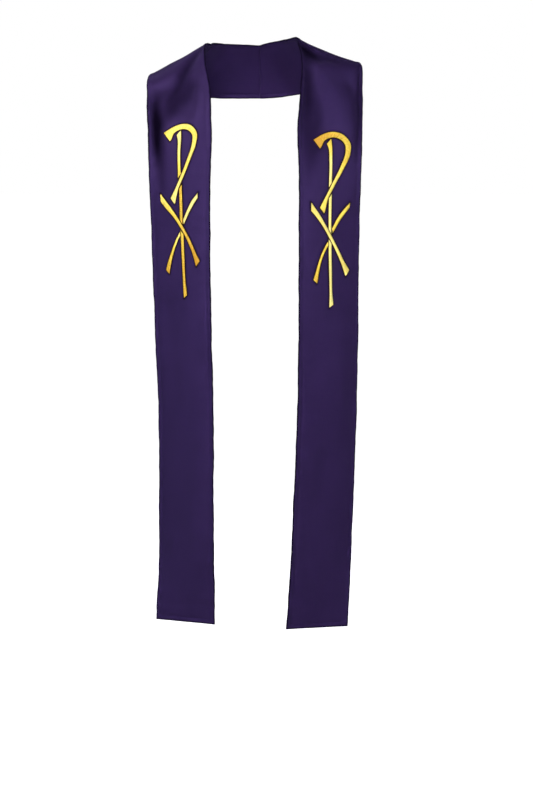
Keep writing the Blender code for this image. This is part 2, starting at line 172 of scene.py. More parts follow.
LEFT_CREASES = (
    Fold("nape ripple", 0.007, ((0.024, 0.000, -0.0007), (0.036, 0.040, -0.0003))),
    Fold("neck ripple", 0.007, ((0.134, 0.000, -0.0012), (0.150, 0.040, -0.0004))),
    Fold("neck crease", 0.016, (
        (0.160, 0.000, -0.0036), (0.180, 0.020, -0.0046), (0.198, 0.040, -0.0036),
        (0.206, 0.070, -0.0024), (0.208, 0.110, -0.0014))),
    Fold("inner spread", 0.014, (
        (0.270, 0.034, -0.0010), (0.300, 0.038, -0.0026), (0.335, 0.042, -0.0036),
        (0.385, 0.038, -0.0028), (0.420, 0.030, -0.0012))),
    Fold("outer turn", 0.009, (
        (0.225, 0.122, -0.0018), (0.290, 0.120, -0.0028),
        (0.350, 0.118, -0.0030), (0.410, 0.116, -0.0018))),
    Fold("shoulder drag", 0.008, ((0.182, 0.024, -0.0010), (0.246, 0.062, -0.0004))),
    Fold("collar bone drag", 0.009, ((0.250, 0.100, -0.0008), (0.312, 0.118, -0.0004))),
    Fold("chest hollow", 0.040, (
        (0.336, 0.070, -0.0008), (0.380, 0.062, -0.0026),
        (0.430, 0.062, -0.0018), (0.500, 0.064, -0.0002))),
    Fold("chest drag", 0.008, ((0.330, 0.060, 0.0005), (0.362, 0.040, 0.0007))),
    Fold("rib crease", 0.008, ((0.600, 0.012, -0.0007), (0.690, 0.020, -0.0002))),
    Fold("waist crease", 0.008, ((0.850, 0.104, -0.0008), (0.930, 0.116, -0.0003))),
    Fold("knee crease", 0.009, ((1.150, 0.016, 0.0008), (1.216, 0.026, 0.0002))),
    Fold("hem pull", 0.007, ((1.300, 0.016, -0.0004), (1.297, 0.110, -0.0005))),
)

# A stroke is a centre line of (right, down, half width), as the viewer sees it, from the top of the
# emblem's staff. A slant is how far the cut at that end leads on the stroke's left as it travels.
# The two emblems share a pattern, and each is pulled a little out of true by its own half.
Stroke = namedtuple("Stroke", "name points start_slant end_slant")

RIGHT_STROKES = (
    Stroke("bowl", (
        (-0.0243, 0.0084, 0.0108), (-0.0127, -0.0026, 0.0064), (0.0052, -0.0088, 0.0052),
        (0.0222, -0.0056, 0.0054), (0.0326, 0.0070, 0.0048), (0.0318, 0.0240, 0.0040),
        (0.0218, 0.0530, 0.0031), (0.0083, 0.0860, 0.0029), (-0.0036, 0.1110, 0.0031),
        (-0.0128, 0.1332, 0.0062)), -0.0025, 0.0045),
    Stroke("staff_top", (
        (0.0002, 0.0030, 0.0048), (0.0014, 0.0150, 0.0034), (0.0008, 0.0400, 0.0028),
        (0.0026, 0.0855, 0.0029)), 0.0048, -0.0064),
    Stroke("staff_middle", (
        (0.0046, 0.1065, 0.0029), (0.0052, 0.1400, 0.0028), (0.0052, 0.1735, 0.0028)),
        0.0062, 0.0062),
    Stroke("staff_foot", (
        (0.0062, 0.1935, 0.0028), (0.0075, 0.2400, 0.0027), (0.0090, 0.2900, 0.0027),
        (0.0106, 0.3185, 0.0037)), -0.0062, -0.0036),
    Stroke("chi_over", (
        (-0.0402, 0.1275, 0.0052), (-0.0254, 0.1435, 0.0047), (-0.0096, 0.1615, 0.0034),
        (0.0045, 0.1815, 0.0029), (0.0228, 0.2135, 0.0030), (0.0324, 0.2350, 0.0034),
        (0.0396, 0.2535, 0.0056)), 0.0075, -0.0044),
    Stroke("chi_under_top", (
        (0.0404, 0.1228, 0.0028), (0.0312, 0.1345, 0.0033), (0.0204, 0.1530, 0.0028),
        (0.0104, 0.1730, 0.0022)), -0.0050, 0.0054),
    Stroke("chi_under_foot", (
        (0.0018, 0.1962, 0.0018), (-0.0056, 0.2090, 0.0020), (-0.0150, 0.2300, 0.0025),
        (-0.0228, 0.2505, 0.0035), (-0.0284, 0.2705, 0.0043)), -0.0042, 0.0034),
)

LEFT_STROKES = (
    Stroke("bowl", (
        (-0.0228, 0.0086, 0.0104), (-0.0112, -0.0034, 0.0062), (0.0050, -0.0096, 0.0053),
        (0.0230, -0.0064, 0.0055), (0.0356, 0.0066, 0.0055), (0.0364, 0.0240, 0.0048),
        (0.0252, 0.0530, 0.0037), (0.0075, 0.0860, 0.0031), (-0.0058, 0.1110, 0.0031),
        (-0.0146, 0.1332, 0.0062)), -0.0025, 0.0045),
    Stroke("staff_top", (
        (-0.0004, 0.0034, 0.0050), (0.0022, 0.0150, 0.0034), (0.0028, 0.0400, 0.0028),
        (0.0018, 0.0855, 0.0028)), 0.0048, -0.0064),
    Stroke("staff_middle", (
        (0.0018, 0.1065, 0.0029), (0.0017, 0.1400, 0.0028), (0.0019, 0.1735, 0.0029)),
        0.0062, 0.0062),
    Stroke("staff_foot", (
        (0.0026, 0.1925, 0.0029), (0.0037, 0.2400, 0.0029), (0.0052, 0.2900, 0.0027),
        (0.0064, 0.3168, 0.0042)), -0.0062, -0.0036),
    Stroke("chi_over", (
        (-0.0362, 0.1262, 0.0048), (-0.0222, 0.1435, 0.0039), (-0.0100, 0.1615, 0.0031),
        (0.0020, 0.1815, 0.0029), (0.0198, 0.2135, 0.0031), (0.0308, 0.2350, 0.0037),
        (0.0404, 0.2535, 0.0065)), 0.0075, -0.0044),
    Stroke("chi_under_top", (
        (0.0424, 0.1240, 0.0028), (0.0322, 0.1348, 0.0035), (0.0184, 0.1530, 0.0033),
        (0.0074, 0.1722, 0.0025)), -0.0050, 0.0054),
    Stroke("chi_under_foot", (
        (-0.0016, 0.1962, 0.0020), (-0.0087, 0.2090, 0.0020), (-0.0174, 0.2300, 0.0023),
        (-0.0228, 0.2505, 0.0031), (-0.0270, 0.2690, 0.0043)), -0.0042, 0.0034),
)

# Painted sheen: how bright the satin thread is painted from the start to the end of each stroke, as light
# catches its threads:
# 0 is painted dim, 1 is a painted highlight, and the dullest stretches go below 0.
RIGHT_PAINTED_SHEEN = {
    "bowl": (0.56, 0.64, 0.52, 0.66, 0.56, 0.78, 0.80),
    "staff_top": (0.90, 0.78, 0.30),
    "staff_middle": (0.16, 0.12),
    "staff_foot": (0.30, 0.10, 0.16),
    "chi_over": (0.66, 0.34, 0.10, -0.16),
    "chi_under_top": (0.90, 0.84),
    "chi_under_foot": (0.82, 0.30, 0.02),
}
LEFT_PAINTED_SHEEN = {
    "bowl": (-0.08, 0.12, 0.36, 0.22, 0.66, 0.62, 0.50),
    "staff_top": (0.20, 0.92, 0.94),
    "staff_middle": (0.86, 0.90),
    "staff_foot": (0.90, 0.88, 0.92),
    "chi_over": (0.70, 0.78, 0.70),
    "chi_under_top": (0.52, 0.40),
    "chi_under_foot": (0.46, 0.30, 0.16),
}

# Side is -1 for the wearer's right and 1 for the wearer's left.
Half = namedtuple(
    "Half", "name side sections folds strokes emblem_across emblem_width emblem_length tones")

HALVES = (
    Half("right", -1, RIGHT_SECTIONS, RIGHT_FOLDS + RIGHT_CREASES, RIGHT_STROKES,
         0.0632, 0.96, 0.985, RIGHT_PAINTED_SHEEN),
    Half("left", 1, LEFT_SECTIONS, LEFT_FOLDS + LEFT_CREASES, LEFT_STROKES,
         0.060, 1.00, 1.00, LEFT_PAINTED_SHEEN),
)

# The mesh of the cloth: up to each end, in metres of the cut, its cells are one step long.
Spacing = namedtuple("Spacing", "name end step")

ROW_SPACINGS = (
    Spacing("centre back seam", 0.004, 0.0005),
    Spacing("shoulder", 0.362, 0.0030),
    Spacing("emblem", 0.696, 0.0019),
    Spacing("front", 1.310, 0.0034),
    Spacing("hem turning", 1.3220, 0.0015),
    Spacing("hem edge", 1.3249, 0.0004),
)
COLUMN_SPACINGS = (
    Spacing("neck edge", 0.0028, 0.0004),
    Spacing("inner turning", 0.0130, 0.0014),
    Spacing("middle", 0.1140, 0.0019),
    Spacing("outer turning", 0.1242, 0.0014),
    Spacing("outer edge", 0.1270, 0.0004),
)

# The edges are sewn, turned and pressed, so they end in a soft roll with a faint groove behind it.
RIM_ROUND = 0.0020
RIM_LEFT = 0.03
ROLL_CREST = 0.0036
ROLL_WIDTH = 0.0030
ROLL_RISE = 0.0006
ROLL_UNEVEN = 0.35
GROOVE_PLACE = 0.0098
GROOVE_WIDTH = 0.0022
GROOVE_DEPTH = 0.00022
PUCKER_HEIGHT = 0.00018
PUCKER_REACH = 0.006
PUCKER_PACE = 3.1
SEAM_ROUND = 0.0014
SEAM_LEFT = 0.45

# The long edges rise and sink by the sway, and wander in and out across the cut.
EDGE_SWAY = 0.00128
INNER_SWAY_PACE = 0.62
OUTER_SWAY_PACE = 0.55
SWAY_FALL = 4
EDGE_WANDER = 0.0004
WANDER_REACH = 0.012

# Painted shade: the cloth's colour and reflections are darkened in its troughs, along its edges and
# beside its stitches.
FOLD_SHADE_START = 0.0011
FOLD_SHADE_DEPTH = 0.0085
EDGE_SHADE_WIDTH = 0.0036
EDGE_SHADE_DARK = 1.3
SHADE_REACH = 0.0023
EDGE_SHADE_SHARE = 0.95
SHADED_ROUGHER = 0.46
SHADED_DULL = 0.7

# The satin stitch pulls the cloth in round each stroke and lifts it a little further out.
PULL_DEPTH = 0.00040
PULL_REACH = 0.0017
LIFT_HEIGHT = 0.00016
LIFT_PLACE = 0.0055
LIFT_WIDTH = 0.0025
TUG_UNEVEN = 0.5
TUG_PACE_ALONG = 2.0
TUG_PACE_ACROSS = 3.0

# Each stitch is one ridge of thread from side to side of its stroke.
THREAD_PITCH = 0.00078
THREAD_RELIEF = 0.00007
THREAD_OVERHANG = 0.00014
RIDGE_LEAST = 0.6
RIDGE_SPREAD = 0.8
SATIN_SLANT = 0.35
STITCH_COLUMNS = 12
STITCH_SINK = 0.0005
STITCH_EDGE = 0.0006
STITCH_CROWN = 0.0019
DOME_POWER = 2.6
MIDDLE_LINE = 0.01

# Round its bright face a stroke has a rim, where the threads turn down into the cloth; the rim is painted
# nearly black as a painted shadow line.
TURN_WIDTH = 0.0014
TURN_INSIDE = 0.0003
RIM_SHADE_FULL = 0.45
RIM_SHADE_ROUGHER = 0.45
RIM_SHADE_DULL = 0.8

# The samples of a stroke's face: across its two ends, and across each of its threads. Cloth that is
# clear of the emblem counts as FAR_OFF.
END_SAMPLES = 21
THREAD_SAMPLES = 5
FAR_OFF = 1.0

# Uneven waves are a sum of three even ones.
Wave = namedtuple("Wave", "height pace seed_share")

WAVES = (Wave(0.5, 71.0, 1.0), Wave(0.3, 163.0, 2.3), Wave(0.2, 401.0, 4.1))


def placed(spacings, length):
    """Places of the rows or columns of a mesh, with the last one at the length."""
    places = [0.0]
    for spacing in spacings:
        end = length if spacing is spacings[-1] else spacing.end
        cells = max(1, round((end - places[-1]) / spacing.step))
        places.extend(np.linspace(places[-1], end, cells + 1)[1:])
    return np.array(places)


def uneven(places, seed):
    """Slow uneven waves between about -1 and 1, along a length in metres."""
    return sum(wave.height * np.sin(places * wave.pace + wave.seed_share * seed) for wave in WAVES)


def arched(share):
    """A low arch, 0 at a share of 0 and of 1, and 1 midway."""
    return 4.0 * share * (1.0 - share)


def scattered(numbers):
    """A repeatable value of 0 to 1 for each whole number, with no pattern to see."""
    return np.modf(np.abs(np.sin(numbers * 12.9898 + 78.233)) * 437.5453)[0]


def smooth_table(rows, knots, places):
    """Values of a table between its rows, by a curve that passes through each row."""
    slopes = np.gradient(rows, knots, axis=0)
    before = np.clip(np.searchsorted(knots, places) - 1, 0, len(knots) - 2)
    span = (knots[before + 1] - knots[before])[..., None]
    part = (places - knots[before])[..., None] / span
    rest = 1.0 - part
    start, end = rows[before], rows[before + 1]
    lean = span * part * rest * (rest * slopes[before] - part * slopes[before + 1])
    return start * rest * rest * (1.0 + 2.0 * part) + end * part * part * (1.0 + 2.0 * rest) + lean


def running_length(points):
    """Distance from the first point to each point of a chain."""
    steps = np.linalg.norm(np.diff(points, axis=0), axis=1)
    return np.concatenate(([0.0], np.cumsum(steps)))


def section_table(half):
    """The half's sections as rows of inner, outer and crown, and their places along the cut."""
    rows = np.array([(*row.inner, *row.outer, row.crown) for row in half.sections])
    return rows, running_length((rows[:, 0:3] + rows[:, 3:6]) / 2.0)


def to_world(half, place):
    """World place of (across, forward, drop) on this side of the body."""
    return place * (half.side, -1.0, -1.0)


def ruled_place(half, along, across):
    """Place on the straight line between the two edges, and the crown of that section."""
    rows, knots = section_table(half)
    values = smooth_table(rows, knots, along)
    share = (across / BAND_WIDTH)[..., None]
    place = values[..., 0:3] * (1.0 - share) + values[..., 3:6] * share
    return to_world(half, place), values[..., 6]


def fold_height(half, along, across):
    """Height of all folds at a place on the cut."""
    height = np.zeros_like(along)
    for fold in half.folds:
        nearest = np.full(along.shape, np.inf)
        level = np.zeros_like(along)
        for start, end in zip(fold.line, fold.line[1:]):
            run = np.subtract(end, start)
            run_along, run_across, run_height = run
            offset_along, offset_across = along - start[0], across - start[1]
            reach = (offset_along * run_along + offset_across * run_across) / (run[:2] @ run[:2])
            reach = np.clip(reach, 0.0, 1.0)
            distance = np.hypot(offset_along - reach * run_along, offset_across - reach * run_across)
            level = np.where(distance < nearest, start[2] + reach * run_height, level)
            nearest = np.minimum(distance, nearest)
        height += level * np.exp(-((nearest / fold.half_width) ** 2))
    return height


def edge_sway(half, along, across):
    """Slow uneven waves that lift and drop the two long edges."""
    share = across / BAND_WIDTH
    inner = uneven(along * INNER_SWAY_PACE, seed=half.side) * (1.0 - share) ** SWAY_FALL
    outer = uneven(along * OUTER_SWAY_PACE, seed=3.0 + half.side) * share**SWAY_FALL
    return EDGE_SWAY * (inner + outer)


def outward(half, place, along, across):
    """Unit normal away from the body, which lies in the seam's plane at the seam."""
    ahead = place(half, along + NORMAL_STEP, across)
    behind = place(half, np.abs(along - NORMAL_STEP), across)
    past_seam = along < NORMAL_STEP
    behind[past_seam, 0] = 2.0 * SEAM_ACROSS - behind[past_seam, 0]
    toward_outer = (place(half, along, across + NORMAL_STEP)
                    - place(half, along, across - NORMAL_STEP))
    normal = half.side * np.cross(ahead - behind, toward_outer)
    return normal / np.linalg.norm(normal, axis=-1, keepdims=True)


def smooth_place(half, along, across):
    """Place on the ruled surface alone."""
    return ruled_place(half, along, across)[0]


def cloth_place(half, along, across):
    """Place on the underside of the worn cloth, with its crown, folds and sway."""
    place, crown = ruled_place(half, along, across)
    share = across / BAND_WIDTH
    from_seam = np.clip(along / SEAM_FLAT, 0.0, 1.0)
    height = fold_height(half, along, across) + edge_sway(half, along, across)
    height = crown * arched(share) + from_seam * height
    return place + outward(half, smooth_place, along, across) * height[..., None]


def dressed(half, flat):
    """Worn places of flat ones, given as rows of (along, across, height)."""
    along, across, height = flat[:, 0], flat[:, 1], flat[:, 2]
    lift = outward(half, cloth_place, along, across) * height[:, None]
    return cloth_place(half, along, across) + lift


def flat_slab(along_cells, across_cells):
    """A closed slab over the unit square, one unit high, in cells."""
    mesh = bmesh.new()
    bmesh.ops.create_grid(mesh, x_segments=along_cells, y_segments=across_cells, size=0.5)
    bmesh.ops.translate(mesh, verts=mesh.verts, vec=(0.5, 0.5, 0.0))
    bmesh.ops.solidify(mesh, geom=mesh.faces[:], thickness=1.0)
    lowest = min(vertex.co.z for vertex in mesh.verts)
    bmesh.ops.translate(mesh, verts=mesh.verts, vec=(0.0, 0.0, -lowest))
    data = bpy.data.meshes.new("slab")
    mesh.to_mesh(data)
    mesh.free()
    return data


def corners_of(data):
    """The places of a mesh's vertices, as rows."""
    places = np.empty(len(data.vertices) * 3)
    data.vertices.foreach_get("co", places)
    return places.reshape(-1, 3)


def map_layout(data, name, layout):
    """Keep a flat layout of the vertices, in metres, as a UV map."""
    corners = np.empty(len(data.loops), dtype=np.int32)
    data.loops.foreach_get("vertex_index", corners)
    data.uv_layers.new(name=name).data.foreach_set("uv", layout[corners].ravel())


def keep_value(data, name, values):
    """Keep one value for each vertex, for a material to read."""
    data.attributes.new(name, "FLOAT", "POINT").data.foreach_set("value", values)


def finish_piece(data, places, name, material):
    """Put a flat closed mesh in its worn place, as a named piece that rides on the stole."""
    data.vertices.foreach_set("co", places.ravel())
    data.name = name
    mesh = bmesh.new()
    mesh.from_mesh(data)
    bmesh.ops.recalc_face_normals(mesh, faces=mesh.faces)
    if mesh.calc_volume(signed=True) < 0.0:
        bmesh.ops.reverse_faces(mesh, faces=mesh.faces)
    mesh.to_mesh(data)
    mesh.free()
    data.shade_smooth()
    data.materials.append(material)
    piece = bpy.data.objects.new(name, data)
    bpy.context.collection.objects.link(piece)
    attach(piece, "root")
    return piece


def rounded(distance, radius):
    """Share of the full half thickness at a distance from a rim, as a quarter circle."""
    return np.sqrt(1.0 - np.clip(1.0 - distance / radius, 0.0, 1.0) ** 2)


def bump_at(distance, place, width):
    """A soft bump of height 1 at a place."""
    return np.exp(-(((distance - place) / width) ** 2))


def on_cut(half, place):
    """Along and across, on the cut, of places (right, down) on the half's emblem."""
    along = EMBLEM_ALONG + half.emblem_length * place[:, 1]
    across = half.emblem_across + half.side * half.emblem_width * place[:, 0]
    return along, across


def face_samples(stroke):
    """Places (right, down) spread over a stroke's face, closest together at its two ends."""
    length = running_length(np.array(stroke.points)[:, 0:2])[-1]
    threads = np.linspace(0.0, 1.0, round(length / THREAD_PITCH))
    end_travel, end_lateral = np.meshgrid((0.0, 1.0), np.linspace(-1.0, 1.0, END_SAMPLES))
    travel, lateral = np.meshgrid(threads, np.linspace(-1.0, 1.0, THREAD_SAMPLES))
    travel = np.concatenate((end_travel.ravel(), travel.ravel()))
    lateral = np.concatenate((end_lateral.ravel(), lateral.ravel()))
    centre, to_left, wide = stroke_place(stroke, travel, lateral)
    return centre + to_left * wide[:, None]


def stroke_distance(half, along, across):
    """Distance on the cut to the nearest stroke, which is next to nothing under a stroke."""
    nearest = np.full(along.shape, FAR_OFF)
    first = EMBLEM_ALONG - EMBLEM_MARGIN
    last = EMBLEM_ALONG + EMBLEM_LENGTH + EMBLEM_MARGIN
    near = (along > first) & (along < last)
    near_along, near_across = along[near], across[near]
    for stroke in half.strokes:
        for one_along, one_across in zip(*on_cut(half, face_samples(stroke))):
            distance = np.hypot(near_along - one_along, near_across - one_across)
            nearest[near] = np.minimum(nearest[near], distance)
    return nearest


def build_band(half, material):
    """One half of the stole, with rolled edges, and pulled in round its stitches."""
    length = section_table(half)[1][-1]
    rows = placed(ROW_SPACINGS, length)
    columns = placed(COLUMN_SPACINGS, BAND_WIDTH)
    data = flat_slab(len(rows) - 1, len(columns) - 1)
    unit = corners_of(data)
    along = np.interp(unit[:, 0], np.linspace(0.0, 1.0, len(rows)), rows)
    across = np.interp(unit[:, 1], np.linspace(0.0, 1.0, len(columns)), columns)
    upper = unit[:, 2] > 0.5
    to_edge = np.minimum(across, BAND_WIDTH - across)
    to_hem = length - along
    rim = np.minimum(to_edge, to_hem)
    near_inner = across < BAND_WIDTH / 2.0
    waves = np.where(near_inner, uneven(along, seed=half.side), uneven(along, seed=5.0 + half.side))
    roll = ROLL_RISE * (1.0 + ROLL_UNEVEN * waves) * bump_at(rim, ROLL_CREST, ROLL_WIDTH)
    groove = GROOVE_DEPTH * bump_at(rim, GROOVE_PLACE, GROOVE_WIDTH)
    pucker = PUCKER_HEIGHT * uneven(along * PUCKER_PACE, seed=7.0)
    pucker = pucker * bump_at(to_edge, 0.0, PUCKER_REACH)
    to_stitch = stroke_distance(half, along, across)
    tugs = uneven(along * TUG_PACE_ALONG + across * TUG_PACE_ACROSS, seed=1.7)
    tugs = 1.0 + TUG_UNEVEN * tugs
    lift = LIFT_HEIGHT * tugs * bump_at(to_stitch, LIFT_PLACE, LIFT_WIDTH)
    pulled = lift - PULL_DEPTH * bump_at(to_stitch, 0.0, PULL_REACH)
    middle = CLOTH_THICK / 2.0
    rounding = np.minimum(rounded(to_edge, RIM_ROUND), rounded(to_hem, RIM_ROUND))
    seam = SEAM_LEFT + (1.0 - SEAM_LEFT) * rounded(along, SEAM_ROUND)
    half_thick = (middle + roll - groove + pucker) * np.maximum(rounding * seam, RIM_LEFT)
    level = np.where(upper, middle + half_thick + pulled, middle - half_thick)
    toward_edge = np.where(near_inner, -1.0, 1.0)
    wander = EDGE_WANDER * waves * toward_edge * bump_at(to_edge, 0.0, WANDER_REACH)
    # Painted shade in the troughs: the deeper the folds sink here, the darker the cloth is painted.
    depth = -fold_height(half, along, across)
    hollow = np.clip((depth - FOLD_SHADE_START) / (FOLD_SHADE_DEPTH - FOLD_SHADE_START), 0.0, 1.0)
    # Painted shade along the long edges and the hem, where the rolled rim turns away from the light.
    edge_shade = np.clip(EDGE_SHADE_DARK * (1.0 - rim / EDGE_SHADE_WIDTH), 0.0, 1.0)
    map_layout(data, "cut", np.stack((across, along), axis=1))
    # Painted shadow on the cloth right beside each stroke, where the raised stitches shade it.
    keep_value(data, "stitch_shade", bump_at(to_stitch, 0.0, SHADE_REACH) * upper)
    keep_value(data, "edge_shade", edge_shade)
    keep_value(data, "hollow", hollow * upper)
    places = dressed(half, np.stack((along, across + wander, level), axis=1))
    piece = finish_piece(data, places, half.name + "_half_cloth", material)
    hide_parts(half.name + "_half")
    return piece, length


def stroke_place(stroke, travel, lateral):
    """Place (right, down) on a stroke, at a travel of 0 to 1 and a lateral of -1 to 1."""
    points = np.array(stroke.points)
    knots = running_length(points[:, 0:2])
    start = -lateral * stroke.start_slant
    reach = start + travel * (knots[-1] + lateral * stroke.end_slant - start)
    wide = smooth_table(points, knots, np.clip(reach, 0.0, knots[-1]))[:, 2]
    reach = reach + SATIN_SLANT * lateral * wide * arched(travel)
    on_line = np.clip(reach, 0.0, knots[-1])
    here = smooth_table(points, knots, on_line)
    nearby = np.clip(on_line, NORMAL_STEP, knots[-1] - NORMAL_STEP)
    ahead = smooth_table(points, knots, nearby + NORMAL_STEP)
    behind = smooth_table(points, knots, nearby - NORMAL_STEP)
    heading = (ahead - behind)[:, 0:2]
    heading /= np.linalg.norm(heading, axis=1, keepdims=True)
    to_left = np.stack((heading[:, 1], -heading[:, 0]), axis=1)
    overrun = (reach - on_line)[:, None]
    return here[:, 0:2] + heading * overrun, to_left, lateral * here[:, 2]


def build_stroke(half, stroke, material):
    """One stroke of satin stitch: a low dome of threads that cross it, each one ridge."""
    points = np.array(stroke.points)
    length = running_length(points[:, 0:2])[-1]
    rows = 2 * round(length / THREAD_PITCH)
    data = flat_slab(rows, STITCH_COLUMNS)
    unit = corners_of(data)
    row = np.round(unit[:, 0] * rows)
    lateral = np.sin((unit[:, 1] - 0.5) * math.pi)
    travel = 0.5 + (unit[:, 0] - 0.5) * (1.0 + 2.0 * TURN_WIDTH / length)
    centre, to_left, wide = stroke_place(stroke, travel, lateral)
    ridge = np.where(row % 2 == 0, 1.0, -1.0) * (RIDGE_LEAST + RIDGE_SPREAD * scattered(row))
    off_middle = np.abs(lateral)
    on_middle = off_middle < MIDDLE_LINE
    half_width = wide / np.where(on_middle, 1.0, lateral)
    # Painted shadow round the rim, from the gold's edge outward.
    past_side = off_middle * (half_width + TURN_WIDTH) - half_width
    past_end = (np.abs(travel - 0.5) - 0.5) * length
    turned = np.where(on_middle, past_end, np.maximum(past_side, past_end))
    turned = np.clip((turned + TURN_INSIDE) / TURN_WIDTH, 0.0, 1.0)
    wide = wide + lateral * (THREAD_OVERHANG * ridge + TURN_WIDTH)
    along, across = on_cut(half, centre + to_left * wide[:, None])
    dome = 1.0 - off_middle**DOME_POWER
    thick = STITCH_EDGE + (STITCH_CROWN - STITCH_EDGE) * dome + THREAD_RELIEF * ridge
    height = CLOTH_THICK - STITCH_SINK + unit[:, 2] * thick
    map_layout(data, "threads", np.stack((wide, row * THREAD_PITCH / 2.0), axis=1))
    # Painted sheen: each stroke's threads are painted pale or dim along their length.
    tones = half.tones[stroke.name]
    keep_value(data, "tone", np.interp(unit[:, 0], np.linspace(0.0, 1.0, len(tones)), tones))
    keep_value(data, "turned", turned)
    places = dressed(half, np.stack((along, across, height), axis=1))
    name = half.name + "_" + stroke.name
    piece = finish_piece(data, places, name + "_stitch", material)
    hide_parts(name)
    return piece


def add_node(tree, kind, **settings):
    """A node with its settings made."""
    node = tree.nodes.new(kind)
    for name, value in settings.items():
        setattr(node, name, value)
    return node


def feed(tree, socket, source):
    """Give a socket either a link or a plain value."""
    if isinstance(source, bpy.types.NodeSocket):
        tree.links.new(source, socket)
    else:
        socket.default_value = source


def calculate(tree, operation, *sources):
    """Result of a Math node."""
    node = add_node(tree, "ShaderNodeMath", operation=operation)
    for socket, source in zip(node.inputs, sources):
        feed(tree, socket, source)
    return node.outputs[0]


def remap(tree, value, low, high, to_low, to_high):
    """A value moved smoothly from one range to another."""
    node = add_node(tree, "ShaderNodeMapRange", interpolation_type="SMOOTHSTEP")
    for name, source in (("Value", value), ("From Min", low), ("From Max", high),
                         ("To Min", to_low), ("To Max", to_high)):
        feed(tree, node.inputs[name], source)
    return node.outputs["Result"]


def stretch(tree, vector, scale):
    """A vector scaled by a plain amount on each axis."""
    node = add_node(tree, "ShaderNodeVectorMath", operation="MULTIPLY")
    feed(tree, node.inputs[0], vector)
    node.inputs[1].default_value = scale
    return node.outputs[0]


def cloud(tree, vector, detail=2.0):
    """A soft noise value, about 0 to 1."""
    node = add_node(tree, "ShaderNodeTexNoise")
    feed(tree, node.inputs["Vector"], vector)
    node.inputs["Scale"].default_value = 1.0
    node.inputs["Detail"].default_value = detail
    return node.outputs["Fac"]


def kept_value(tree, name):
    """A value that the mesh keeps for each vertex."""
    return add_node(tree, "ShaderNodeAttribute", attribute_name=name).outputs["Fac"]


def blend_colours(tree, share, first, second):
    """A mix of two colours."""
    node = add_node(tree, "ShaderNodeMix", data_type="RGBA")
    feed(tree, node.inputs["Factor"], share)
    feed(tree, node.inputs[6], first)
    feed(tree, node.inputs[7], second)
    return node.outputs[2]


def new_group(name, inputs, outputs):
    """A shader node group with float or vector inputs and float outputs."""
    tree = bpy.data.node_groups.new(name, "ShaderNodeTree")
    for label, kind, value in inputs:
        socket = tree.interface.new_socket(name=label, in_out="INPUT", socket_type=kind)
        if value is not None:
            socket.default_value = value
    for label in outputs:
        tree.interface.new_socket(name=label, in_out="OUTPUT", socket_type="NodeSocketFloat")
    return tree, tree.nodes.new("NodeGroupInput"), tree.nodes.new("NodeGroupOutput")


def thread_group():
    """Lines of thread side by side, at a slant, with uneven height and shade along them."""
    tree, given, result = new_group(
        "thread lines",
        (("Layout", "NodeSocketVector", None), ("Pitch", "NodeSocketFloat", 0.0005),
         ("Slant", "NodeSocketFloat", 0.3), ("Unevenness", "NodeSocketFloat", 0.3)),
        ("Height", "Shade"))
    parts = add_node(tree, "ShaderNodeSeparateXYZ")
    feed(tree, parts.inputs[0], given.outputs["Layout"])
    wobble = cloud(tree, stretch(tree, given.outputs["Layout"], WOBBLE_GRAIN))
    slanted = calculate(tree, "MULTIPLY_ADD", parts.outputs[0], given.outputs["Slant"],
                        parts.outputs[1])
    turns = calculate(tree, "DIVIDE", slanted, given.outputs["Pitch"])
    turns = calculate(tree, "MULTIPLY_ADD", wobble, given.outputs["Unevenness"], turns)
    wave = calculate(tree, "SINE", calculate(tree, "MULTIPLY", turns, 2.0 * math.pi))
    height = calculate(tree, "MULTIPLY_ADD", wave, 0.5, 0.5)
    feed(tree, result.inputs["Height"], height)
    patch = cloud(tree, stretch(tree, given.outputs["Layout"], PATCH_GRAIN), 3.0)
    feed(tree, result.inputs["Shade"], patch)
    return tree


def start_material(name):
    """A material with only its Principled shader and output."""
    material = bpy.data.materials.new(name)
    material.use_nodes = True
    tree = material.node_tree
    return material, tree, tree.nodes["Principled BSDF"]


